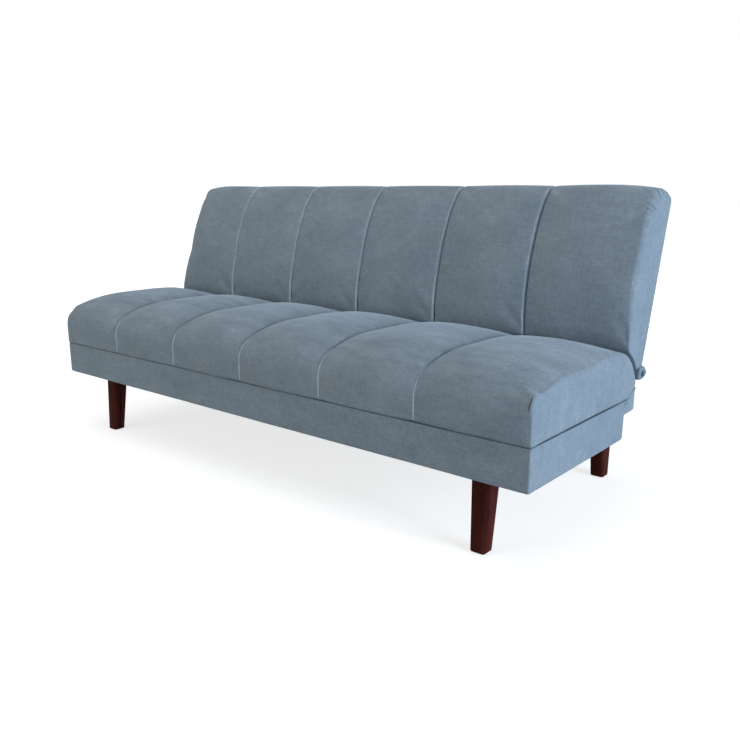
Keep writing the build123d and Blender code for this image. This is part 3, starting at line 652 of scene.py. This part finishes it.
seat_dark_width = 0.0008
seat_dark_from = 0.085
seat_dark_span = 0.03
seat_highlight_width = 0.0015
seat_highlight_heights = (0.0, 0.02, 0.112, 0.136)
seat_highlight_levels = (0.5, 1.0, 1.0, 0.15)
pleat_x = 0.8925
pleat_offsets = (0.0, 0.0006, 0.0012, 0.002, 0.0035)
pleat_width = 0.0009
pleat_height = 0.088
pleat_reach = 0.012
pleat_depth = 0.035
pleat_push = 0.003


def seat_place(x, depth, height):
    """Point of the seat from its depth behind the front and its height above the base."""
    return (x, front_y + depth, cushion_bottom + height)


def make_seat():
    """The seat cushion with its six channels and a short pleat at both front corners."""
    beside = [turn * offset for turn in (-1, 1) for offset in pleat_offsets]
    pleat_marks = [side * (pleat_x + offset) for side in (-1, 1) for offset in beside]
    xs = stations(-half_width, half_width, seat_roll, seam_marks + pleat_marks, station_step)
    cover = Cover("seat_cushion", trace(seat_rows, seat_runs), seat_place, xs, seat_middle, seat_swell)
    points = coordinates(cover.piece.data)
    depth, height = cover.outline.T
    held = (from_seam(points) < on_seam) | (height < seat_lying) | cover.in_ring
    swell_with_cloth(cover.piece, held, cover.swell_room())
    cover.bulge(seat_bulge)
    upright = np.exp(-(((height - pleat_height) / pleat_reach) ** 4)) * (depth < pleat_depth)
    pleat = near(np.abs(points[:, 0]) - pleat_x, pleat_width) * upright
    gathers = cover.puckers(side_edge_wave, side_edge_reach, seed=1.5)
    creases = cover.creases(wave=0.017, reach=0.022, slant=0.3, seed=3.5)
    upper = np.clip(height / seat_upper - 1, 0, 1)
    cover.push(upper * (seat_gather * gathers - seat_crease * creases) - pleat_push * pleat)
    # Painted shade in the colour: the gap to the base, the seams on top, the pleat and the creases are
    # darkened.
    joint = cover.edge_only(near(height - seam_line, joint_width) * (depth < seat_joint_end))
    top_seam_shade = near(beside_seam(points) - seat_dark_offset, seat_dark_width)
    top_seam_shade *= np.clip((height - seat_dark_from) / seat_dark_span, 0, 1)
    shades = [top_seam_shade, pleat, joint * joint_shade(points), seat_crease_shade * upper * creases]
    cover.remember("tuck", np.maximum.reduce(shades))
    # Painted highlight on the flank left of each seam, weaker at the bottom and near the top.
    highlight_share = np.interp(height, seat_highlight_heights, seat_highlight_levels)
    cover.remember("painted_highlight", lit_seam_flank(points, seat_highlight_width) * highlight_share)
    subdivide(cover.piece)
    dress(cover.piece, "base", "upholstery", "seat_cover", "seat_foam")


# Folding back

back_roll = 0.013
back_rear = -0.0115
back_rows = (
    (0.0293, back_rear, 0.0, 0.005, 0.0, 0.0),
    (0.0293, 0.022, 0.0, 0.004, 0.0, 0.0),
    (0.0629, 0.058, 0.0, 0.004, 0.009, 0.009),
    (0.0765, 0.0855, 0.65, 0.005, 0.013, 0.004),
    (0.2406, 0.1175, 1.0, back_roll, 0.012, -0.016),
    (0.400, 0.106, 1.0, back_roll, 0.011, -0.017),
    (0.4315, 0.0975, 1.0, 0.015, 0.008, -0.014),
    (0.460, 0.086, 1.0, 0.017, 0.005, -0.012),
    (0.4775, 0.0719, 0.9, 0.017, 0.002, -0.009),
    (0.488, 0.0518, 0.7, 0.015, 0.0, -0.005),
    (0.4915, 0.030, 0.6, back_roll, -0.001, -0.003),
    (0.487, 0.008, 0.3, 0.010, 0.0, 0.0),
    (0.4805, -0.007, 0.0, 0.006, 0.0, 0.0),
    (0.465, back_rear, 0.0, 0.005, 0.0, 0.0),
)
back_runs = (
    ((0, 1), 4),
    ((1, 2, 3), 10),
    ((3, 4, 5), 44),
    ((5, 6, 7), 22),
    ((7, 8, 9), 14),
    ((9, 10, 11), 8),
    ((11, 12, 13), 5),
    ((13, 0), 34),
)
back_middle = ((0.12, 0.045), (0.43, 0.035))
back_channels = channels(
    tuck=0.0105, tuck_width=0.0042, crown=0.004, last_crown=0.004, right_power=2.4, left_power=2.2
)
back_swell = settled(back_channels, most=0.014, full_x=0.2, none_x=0.66)
back_bulge = 0.002
back_held = -0.0105
back_front_fade = 0.02
back_crease_rise = 0.455
back_crease_reach = 0.055
back_gather = 0.0007
back_crease = 0.002
back_crease_shade = 0.45
back_dark_offset = 0.0016
back_dark_width = 0.0026
back_highlight_width = 0.0030


def back_place(x, rise, front):
    """Point of the back from its rise above the pivot along the lean and its distance in front of it."""
    depth = rise * sin(back_lean) - front * cos(back_lean)
    return (x, pivot.y + depth, pivot.z + rise * cos(back_lean) + front * sin(back_lean))


def make_back():
    """The folding back with its six channels."""
    xs = stations(-half_width, half_width, back_roll, seam_marks, station_step)
    cover = Cover("back_cushion", trace(back_rows, back_runs), back_place, xs, back_middle, back_swell)
    points = coordinates(cover.piece.data)
    rise, front = cover.outline.T
    held = (from_seam(points) < on_seam) | (front < back_held) | cover.in_ring
    swell_with_cloth(cover.piece, held, cover.swell_room())
    cover.bulge(back_bulge)
    forward = np.clip(front / back_front_fade, 0, 1)
    upper = forward * near(rise - back_crease_rise, back_crease_reach)
    gathers = forward * cover.puckers(side_edge_wave, side_edge_reach, seed=4.5)
    creases = upper * cover.creases(wave=0.018, reach=0.045, slant=-0.55, seed=6.5)
    cover.push(back_gather * gathers - back_crease * creases)
    # Painted shade just right of each seam on the front, and in the creases.
    dark = near(beside_seam(points) - back_dark_offset, back_dark_width) * (front > 0.0)
    cover.remember("tuck", np.maximum(dark, back_crease_shade * creases))
    # Painted highlight on the flank left of each seam on the front.
    cover.remember("painted_highlight", lit_seam_flank(points, back_highlight_width) * (front > 0.0))
    subdivide(cover.piece)
    dress(cover.piece, "backrest", "upholstery", "back_cover", "back_foam")


# Fabric lobes over the hinges at the lower rear corners of the back

lobe_roll = 0.009
lobe_rows = (
    (0.0353, 0.0150, 0.0, 0.006, 0.0, 0.0),
    (0.0421, -0.0060, 0.0, lobe_roll, 0.0, 0.0),
    (0.0375, -0.0270, 0.0, lobe_roll, 0.0, 0.0),
    (0.0250, -0.0355, 0.0, lobe_roll, 0.0, 0.0),
    (0.0120, -0.0250, 0.0, lobe_roll, 0.0, 0.0),
    (0.0042, -0.0040, 0.0, lobe_roll, 0.0, 0.0),
    (0.0034, 0.0103, 0.0, 0.006, 0.0, 0.0),
)
lobe_runs = (((0, 1), 8), ((1, 2, 3), 14), ((3, 4, 5), 16), ((5, 6), 6), ((6, 0), 12))
lobe_middle = ((0.010, 0.010), (0.013, 0.0))
lobe_step = 0.002
lobe_inside = 0.004
lobe_outside = 0.013
lobe_hollow = 0.010
lobe_rim = 0.007
lobe_gather = 0.0008
lobe_shade = 0.85


def make_hinge_lobe(side, name):
    """A turned-in lobe of fabric behind one lower corner of the back: a full rim round a hollow fold."""
    low, high = (corner.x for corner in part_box(f"hinge_cover_{name}"))
    if side > 0:
        low, high = low + lobe_inside, high + lobe_outside
    else:
        low, high = low - lobe_outside, high - lobe_inside
    xs = stations(low, high, lobe_roll, [], lobe_step)
    cover = Cover(f"hinge_lobe_{name}", trace(lobe_rows, lobe_runs), back_place, xs, lobe_middle)
    mesh = cover.piece.data
    points = coordinates(mesh)
    outer = side * (points[:, 0] - (low + high) / 2) > 0
    hollow = np.where(cover.in_ring & outer, 1 - near(cover.from_end, lobe_rim), 0)
    points[:, 0] -= side * lobe_hollow * hollow
    move_points(mesh, points)
    cover.push(lobe_gather * cover.puckers(wave=0.012, reach=0.01, seed=7.5))
    # Painted shade in the hollow of the lobe.
    cover.remember("tuck", lobe_shade * hollow)
    subdivide(cover.piece)
    dress(cover.piece, "backrest", "upholstery", f"hinge_cover_{name}")


# Fabric stretched over the base, stepped at the rear, with a lip turned under the rails

fabric_thickness = 0.0012
lip_width = 0.034
overhang_cover = 0.003
overhang_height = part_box("seat_rear_rail")[0].z - overhang_cover - base_bottom
seam_overlap = 0.0005
base_top = cushion_bottom + seam_line + seam_overlap - base_bottom
base_edge = 0.004
base_soft_edge = 0.011
base_front_edge = 0.006
base_corners = [
    (0.0, 0.0, base_front_edge),
    (0.0, base_top, base_edge),
    (tail_start, base_top, base_edge),
    (tail_mid_depth, base_top + tail_mid_rise, base_edge),
    (seat_depth, base_top + tail_rise, base_soft_edge),
    (seat_depth, overhang_height, base_soft_edge),
    (base_depth, overhang_height, base_edge),
    (base_depth, 0.0, base_soft_edge),
]
base_middle = ((0.10, 0.084), (0.47, 0.084))
base_roll = 0.006
roll_share = 0.8
base_step = 0.02
corner_steps = 6
base_wave = 0.0006
base_wave_scale = 9
base_fill = 0.0006


def rounded(corners):
    """Rows and runs of a closed outline, each of its corners cut by so much and rounded off."""
    rows, runs = [], []
    for before, corner, after in zip(corners[-1:] + corners[:-1], corners, corners[1:] + corners[:1]):
        cut = corner[2]
        before, corner, after = (np.array(point[:2]) for point in (before, corner, after))
        start = corner + (before - corner) * cut / np.linalg.norm(before - corner)
        end = corner + (after - corner) * cut / np.linalg.norm(after - corner)
        middle = (start + end + 2 * corner) / 4
        radius = cut * np.linalg.norm(start + end - 2 * corner) / np.linalg.norm(end - start)
        roll = min(base_roll, roll_share * radius)
        rows += [(*point, 0.0, roll, 0.0, 0.0) for point in (start, middle, end)]
    for first in range(0, len(rows), 3):
        last = (first + 3) % len(rows)
        gap = np.linalg.norm(np.array(rows[last][:2]) - np.array(rows[first + 2][:2]))
        runs.append(((first, first + 1, first + 2), corner_steps))
        runs.append(((first + 2, last), max(2, round(gap / base_step))))
    return rows, runs


def base_place(x, depth, height):
    """Point of the base from its depth behind the front and its height above the underside."""
    return (x, front_y + depth, base_bottom + height)


def open_underneath(mesh):
    """Take away the middle of the underside, so that a lip is left below the rails."""
    edit = bmesh.new()
    edit.from_mesh(mesh)
    inside = []
    for face in edit.faces:
        middle = face.calc_center_median()
        depth = middle.y - front_y
        below = middle.z < base_bottom + fabric_thickness
        if below and abs(middle.x) < half_width - lip_width and lip_width < depth < base_depth - lip_width:
            inside.append(face)
    bmesh.ops.delete(edit, geom=inside, context="FACES")
    edit.to_mesh(mesh)
    edit.free()


def make_base():
    """The covered base, plain and crisp, barely wavy where the fabric is stretched."""
    xs = stations(-half_width, half_width, base_roll, [], base_step)
    cover = Cover("base_fabric", trace(*rounded(base_corners)), base_place, xs, base_middle)
    points = coordinates(cover.piece.data)
    depth, height = cover.outline.T
    waves = np.array([noise.noise(Vector(point) * base_wave_scale) for point in points])
    between = np.abs(points[:, 0]) < half_width - 2 * base_roll
    cover.push((base_wave * waves + base_fill) * between)
    # Painted shade along the gap under the seat cushion.
    joint = cover.edge_only(near(height - base_top, joint_width) * (depth < base_edge))
    cover.remember("tuck", joint * joint_shade(points))
    open_underneath(cover.piece.data)
    thick = cover.piece.modifiers.new("thick", "SOLIDIFY")
    thick.thickness = fabric_thickness
    dress(cover.piece, "base", "upholstery", "base_cover")


# Thin fabric panels

panel_thickness = 0.001
panel_step = 0.02
hem_offsets = (0.0, 0.0015, 0.004, 0.008)
hem_turn = 0.0022
hem_width = 0.006
rear_panel_reach = 0.885
rear_panel_rise = (0.055, 0.470)
rear_panel_step = 0.014
rear_panel_face = -0.0125
rear_panel_wave = 0.0002
dust_low, dust_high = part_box("dust_cover")
dust_sag = 0.0012
dust_slack = 0.6
plate_half = 0.032
plate_hole = 0.0335


def spread(low, high, step):
    """Places from low to high: close together along both hems, even between them."""
    *offsets, last = hem_offsets
    inner = np.linspace(low + last, high - last, round((high - low) / step))
    return np.concatenate((low + np.array(offsets), inner, high - np.array(offsets[::-1])))


def make_panel(name, firsts, seconds, place, hole=lambda first, second: False):
    """A thin panel of cloth on a grid of two places, open where there is a hole."""
    points = [place(first, second) for first in firsts for second in seconds]
    columns = len(seconds)
    faces = []
    for row in range(len(firsts) - 1):
        for column in range(columns - 1):
            if not hole((firsts[row] + firsts[row + 1]) / 2, (seconds[column] + seconds[column + 1]) / 2):
                corner = row * columns + column
                faces.append((corner, corner + 1, corner + columns + 1, corner + columns))
    mesh = bpy.data.meshes.new(name)
    mesh.from_pydata(points, [], faces)
    piece = bpy.data.objects.new(name, mesh)
    bpy.context.scene.collection.objects.link(piece)
    mesh.shade_smooth()
    thick = piece.modifiers.new("thick", "SOLIDIFY")
    thick.thickness = panel_thickness
    thick.offset = 0
    return piece


def hem(value, low, high):
    """How far the cloth turns in near its edges, from 0 in the open to 1 at the edge."""
    return exp(-((min(value - low, high - value) / hem_width) ** 2) * 2)


def make_rear_panel():
    """The plain outside back, stretched flat and turned in along its edges."""
    low, high = rear_panel_rise
    reach = rear_panel_reach

    def place(x, rise):
        turned = max(hem(x, -reach, reach), hem(rise, low, high))
        wave = rear_panel_wave * noise.noise((7 * x, 9 * rise, 2.5))
        return back_place(x, rise, rear_panel_face + hem_turn * turned + wave)

    xs = spread(-reach, reach, panel_step)
    piece = make_panel("rear_panel", xs, spread(low, high, rear_panel_step), place)
    dress(piece, "backrest", "upholstery", "outside_back_panel")


def make_dust_cover():
    """Dark cloth under the base, drawn tight between the rails and cut out round the front legs' plates."""
    plates_low, plates_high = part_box("leg_plates")
    leg_x = plates_high.x - plate_half
    leg_y = plates_low.y + plate_half

    def place(x, y):
        open_x = (x - dust_low.x) * (dust_high.x - x) / dust_high.x**2
        sag = dust_sag * open_x * (dust_slack + noise.noise((3 * x, 7 * y, 5.5)))
        return (x, y, dust_low.z + panel_thickness / 2 - max(0.0, sag))

    def hole(x, y):
        return abs(abs(x) - leg_x) < plate_hole and abs(y - leg_y) < plate_hole

    cuts_x = [side * (leg_x + turn * plate_hole) for side in (-1, 1) for turn in (-1, 1)]
    cuts_y = [leg_y - plate_hole, leg_y + plate_hole]
    xs = np.unique(np.concatenate((spread(dust_low.x, dust_high.x, panel_step), cuts_x)))
    ys = np.unique(np.concatenate((spread(dust_low.y, dust_high.y, panel_step), cuts_y)))
    piece = make_panel("dust_cloth_panel", xs, ys, place, hole)
    dress(piece, "base", "dust_cloth", "dust_cover")


make_seat()
make_back()
make_base()
make_rear_panel()
make_dust_cover()
for side, name in ((-1, "left"), (1, "right")):
    make_hinge_lobe(side, name)

# Studio: pale floor, white surround, soft lamps and the camera

floor_size = 40
floor_grey = 0.55
floor_glow = {"From Min": 1.2, "From Max": 4.0, "To Min": 0.72, "To Max": 1.0}
surround_level = 0.235
lamp_aim = Vector((0, 0, 0.4))
lamps = (
    ("lamp_right", (4.4, -0.3, 1.0), 2.2, 192, (0.69, 0.84, 1.0)),
    ("lamp_top", (-0.6, -0.6, 4.0), 4.0, 62, (1.0, 0.98, 0.95)),
    ("lamp_front", (-1.6, -4.2, 1.4), 3.0, 57, (0.98, 1.0, 0.98)),
)
camera_lens = 38.12
camera_sensor = 36.0
camera_place = (1.62882, -1.75589, 0.8209)
camera_turn = (radians(77.0), 0.0, radians(39.93))


def seen_by(tree, *kinds):
    """1 for rays of the named kinds and 0 for all others."""
    light_path = add_node(tree, "ShaderNodeLightPath")
    seen = light_path.outputs[kinds[0]]
    for kind in kinds[1:]:
        either = add_node(tree, "ShaderNodeMath", operation="MAXIMUM")
        tree.links.new(seen, either.inputs[0])
        tree.links.new(light_path.outputs[kind], either.inputs[1])
        seen = either.outputs[0]
    return seen


def mix(tree, share, first, second):
    """From one shader to another by a share."""
    node = add_node(tree, "ShaderNodeMixShader")
    for place, source in enumerate((share, first, second)):
        tree.links.new(source, node.inputs[place])
    return node.outputs[0]


def make_floor():
    """Wide pale floor that shows white to the camera, keeps the shadow and is clear from below."""
    bpy.ops.mesh.primitive_plane_add(size=floor_size, location=(0, 0, 0))
    floor = bpy.context.object
    floor.name = "studio_floor"
    material = bpy.data.materials.new("studio_floor")
    material.use_nodes = True
    tree = material.node_tree
    tree.nodes.clear()
    place = add_node(tree, "ShaderNodeTexCoord")
    distance = add_node(tree, "ShaderNodeVectorMath", operation="LENGTH")
    fade = add_node(tree, "ShaderNodeMapRange", **floor_glow)
    glow = add_node(tree, "ShaderNodeEmission", Color=(1, 1, 1, 1))
    tree.links.new(place.outputs["Object"], distance.inputs[0])
    tree.links.new(distance.outputs["Value"], fade.inputs["Value"])
    tree.links.new(fade.outputs["Result"], glow.inputs["Strength"])
    pale = add_node(tree, "ShaderNodeBsdfDiffuse", Color=(*grey(floor_grey), 1)).outputs[0]
    both = add_node(tree, "ShaderNodeAddShader")
    tree.links.new(pale, both.inputs[0])
    tree.links.new(glow.outputs[0], both.inputs[1])
    shown = mix(tree, seen_by(tree, "Is Camera Ray", "Is Glossy Ray"), pale, both.outputs[0])
    below = add_node(tree, "ShaderNodeNewGeometry").outputs["Backfacing"]
    clear = add_node(tree, "ShaderNodeBsdfTransparent").outputs[0]
    output = add_node(tree, "ShaderNodeOutputMaterial")
    tree.links.new(mix(tree, below, shown, clear), output.inputs["Surface"])
    floor.data.materials.append(material)


def make_surround():
    """White to the camera and in reflections, and a plain even light on everything."""
    world = bpy.data.worlds.new("studio")
    bpy.context.scene.world = world
    world.use_nodes = True
    tree = world.node_tree
    tree.nodes.clear()
    seen = seen_by(tree, "Is Camera Ray", "Is Glossy Ray", "Is Transmission Ray")
    white = add_node(tree, "ShaderNodeBackground", Color=(1, 1, 1, 1), Strength=1.0).outputs[0]
    even = add_node(tree, "ShaderNodeBackground", Color=(1, 1, 1, 1), Strength=surround_level).outputs[0]
    output = add_node(tree, "ShaderNodeOutputWorld")
    tree.links.new(mix(tree, seen, even, white), output.inputs["Surface"])


def make_lamp(name, place, size, power, colour):
    """Soft square lamp aimed at the middle of the sofa."""
    lamp = bpy.data.lights.new(name, "AREA")
    lamp.shape = "SQUARE"
    lamp.size = size
    lamp.energy = power
    lamp.color = colour
    holder = bpy.data.objects.new(name, lamp)
    bpy.context.scene.collection.objects.link(holder)
    holder.location = place
    holder.rotation_euler = (lamp_aim - holder.location).to_track_quat("-Z", "Y").to_euler()


def make_camera():
    """Camera at the photograph's viewing angle."""
    camera = bpy.data.cameras.new("camera")
    camera.lens = camera_lens
    camera.sensor_width = camera_sensor
    holder = bpy.data.objects.new("camera", camera)
    bpy.context.scene.collection.objects.link(holder)
    holder.location = camera_place
    holder.rotation_euler = camera_turn
    bpy.context.scene.camera = holder


make_floor()
make_surround()
for lamp in lamps:
    make_lamp(*lamp)
make_camera()
bpy.context.scene.view_settings.view_transform = "Standard"
